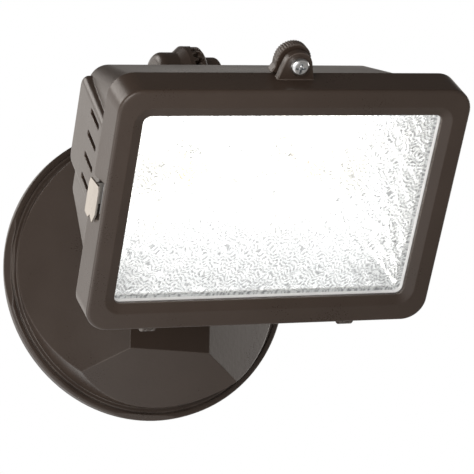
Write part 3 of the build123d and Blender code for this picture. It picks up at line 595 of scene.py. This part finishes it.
glass_cool = (0.965, 0.985, 0.985, 1)
glass_clear = (0.985, 0.992, 0.988, 1)
glass_painted_shade = (0.20, 0.205, 0.21, 1)
glass_bend = 1.52
smudge_scale = 55.0
pebbled_glass, spot = new_finish("pebbled_glass")
smudge = spot.noise(smudge_scale, 3.0)
# Painted shade: the slope value darkens the glass's colour on one side of each furrow.
painted_shade = spot.node("Attribute", {"attribute_name": "painted_furrow_shade"}, output="Fac")
clear = smudge.blend(glass_cool, glass_clear)
surface(
    pebbled_glass,
    Base_Color=painted_shade.blend(clear, glass_painted_shade),
    Roughness=smudge.step(0.45, 0.8) * 0.03,
    Transmission_Weight=1.0,
    IOR=glass_bend,
)
lens.data.materials.append(pebbled_glass)
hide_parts("glass_lens")
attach(lens, "door")

# Door screw: a chromed pan head with a cross recess, that joins the door's ear to the housing's.
# The chrome is bright, with a driver's light scratches across the head.
chrome_bright = (0.80, 0.81, 0.82, 1)
chrome_scratched = (0.58, 0.57, 0.56, 1)
scratch_scale = (2600.0, 320.0, 800.0)
scratch_turn = (0, 0, 0.7)
scratch_depth = 0.00003
chrome_grain_scale = 900.0
chrome_screw, spot = new_finish("chrome_screw")
place = head_coordinates(spot)
scratch = place.stretched(scratch_scale, scratch_turn).noise(1.0, 2.0)
surface(
    chrome_screw,
    Metallic=1.0,
    Base_Color=scratch.step(0.55, 0.75).blend(chrome_bright, chrome_scratched),
    Roughness=0.10 + scratch * 0.16,
    Normal=spot.relief(scratch + place.noise(chrome_grain_scale) * 0.6, scratch_depth),
)
paint(chrome_screw, "door_screw")

# Screw retainer: a natural nylon washer that keeps the screw in the door when it is undone.
# Nylon is milky, a little yellow where light reaches it, and moulded with a fine grain.
nylon_milky = (0.80, 0.80, 0.76, 1)
nylon_yellowed = (0.74, 0.71, 0.62, 1)
yellow_scale = 300.0
nylon_grain_scale = 2400.0
nylon_grain_depth = 0.00001
nylon, spot = new_finish("nylon")
yellow = spot.noise(yellow_scale, 2.0)
surface(
    nylon,
    Base_Color=yellow.blend(nylon_milky, nylon_yellowed),
    Roughness=0.42 + yellow * 0.2,
    Normal=spot.relief(spot.noise(nylon_grain_scale), nylon_grain_depth),
    Subsurface_Weight=0.1,
    Subsurface_Radius=(0.002, 0.002, 0.0015),
    Subsurface_Scale=0.5,
)
paint(nylon, "screw_retainer")

# Studio floor: a plain pale sheet well below the light, which takes its soft shadow.
# The camera sees it nearly white. What lights the object, and is mirrored in it, is another tone:
# brighter on the left, and nearly black on the right.
floor_drop = 0.42
floor_radius = 4.0
floor_sides = 96
floor_mesh = bmesh.new()
bmesh.ops.create_circle(floor_mesh, cap_ends=True, segments=floor_sides, radius=floor_radius)
bmesh.ops.translate(floor_mesh, vec=(0, 0, -floor_drop), verts=floor_mesh.verts)
floor = new_piece("studio_floor", floor_mesh)

sheet_grey = (0.55, 0.55, 0.55, 1)
sheet_pale = (0.58, 0.58, 0.575, 1)
sheet_lit_left = (1.40, 1.40, 1.40, 1)
sheet_dark_right = (0.05, 0.05, 0.05, 1)
sheet_in_view = (1, 1, 1, 1)
sheet_cloud_scale = 3.0
sheet_roughness = 0.9
sheet_gloss = 0.1
sheet_glow = 0.5
sheet_fade = (-0.02, 0.22)
pale_sheet, spot = new_finish("pale_sheet")
in_view = spot.node("LightPath", output="Is Camera Ray")
far_side = spot.along("X").step(*sheet_fade)
own_tone = far_side.blend(sheet_lit_left, sheet_dark_right)
surface(
    pale_sheet,
    Base_Color=spot.noise(sheet_cloud_scale).blend(sheet_grey, sheet_pale),
    Roughness=sheet_roughness,
    Specular_IOR_Level=sheet_gloss,
    Emission_Color=in_view.blend(own_tone, sheet_in_view),
    Emission_Strength=sheet_glow,
)
floor.data.materials.append(pale_sheet)

# Studio light: four soft lamps, and a world that is white to the camera and through the glass.
# To mirrored rays the world is a bright backdrop behind the light, under a darker ceiling.
# To all other rays it is a plain soft light that is a little darker overhead.
studio_white = (1.0, 0.95, 0.90)
lamp_middle = Vector((0, -0.08, 0))


def soft_lamp(name, direction, distance, size, power):
    """A square lamp of soft light in this direction from the head, turned towards it."""
    lamp = bpy.data.objects.new(name, bpy.data.lights.new(name, "AREA"))
    lamp.data.size = size
    lamp.data.energy = power
    lamp.data.color = studio_white
    lamp.location = lamp_middle + Vector(direction).normalized() * distance
    lamp.rotation_mode = "QUATERNION"
    lamp.rotation_quaternion = Vector(direction).to_track_quat("Z", "Y")
    lamp.visible_camera = False
    bpy.context.scene.collection.objects.link(lamp)


soft_lamp("front_lamp", (-0.56, -0.83, -0.02), distance=0.42, size=0.22, power=0.74)
soft_lamp("low_lamp", (-0.74, 0.02, -0.55), distance=0.55, size=0.25, power=0.38)
soft_lamp("right_lamp", (0.90, 0.36, 0.19), distance=1.2, size=0.6, power=2.4)
soft_lamp("top_lamp", (-0.55, 0.55, 0.63), distance=1.2, size=0.5, power=3.2)

ceiling_band = (0.25, 0.65)
backdrop_band = (0.0, 0.6)
backdrop_level = 0.85
mirrored_level = 0.30
mirrored_ceiling = 0.22
soft_level = 0.45
soft_ceiling = 0.15
studio = bpy.data.worlds.new("studio")
bpy.context.scene.world = studio
studio.use_nodes = True
studio.node_tree.nodes.clear()
sky = Wire(studio.node_tree)
way = sky.node("TexCoord", output="Generated")
depth = way.along("Y")
height = way.along("Z")
ceiling = height.step(*ceiling_band)
backdrop = depth.step(*backdrop_band) * (1 - ceiling) * backdrop_level
mirrored = sky.node("LightPath", output="Is Glossy Ray")
to_camera = sky.node("LightPath", output="Is Camera Ray")
through_glass = sky.node("LightPath", output="Is Transmission Ray")
in_view = sky.math("MAXIMUM", to_camera, through_glass)
mirrored_light = mirrored * (backdrop + mirrored_level - ceiling * mirrored_ceiling)
soft_light = (1 - mirrored) * (soft_level - ceiling * soft_ceiling)
colour = in_view.blend((*studio_white, 1), (1, 1, 1, 1))
strength = in_view + (1 - in_view) * (mirrored_light + soft_light)
shade = sky.node("Background", {}, {"Color": colour, "Strength": strength})
sky.node("OutputWorld", {}, {"Surface": shade})
bpy.context.scene.view_settings.view_transform = "Standard"
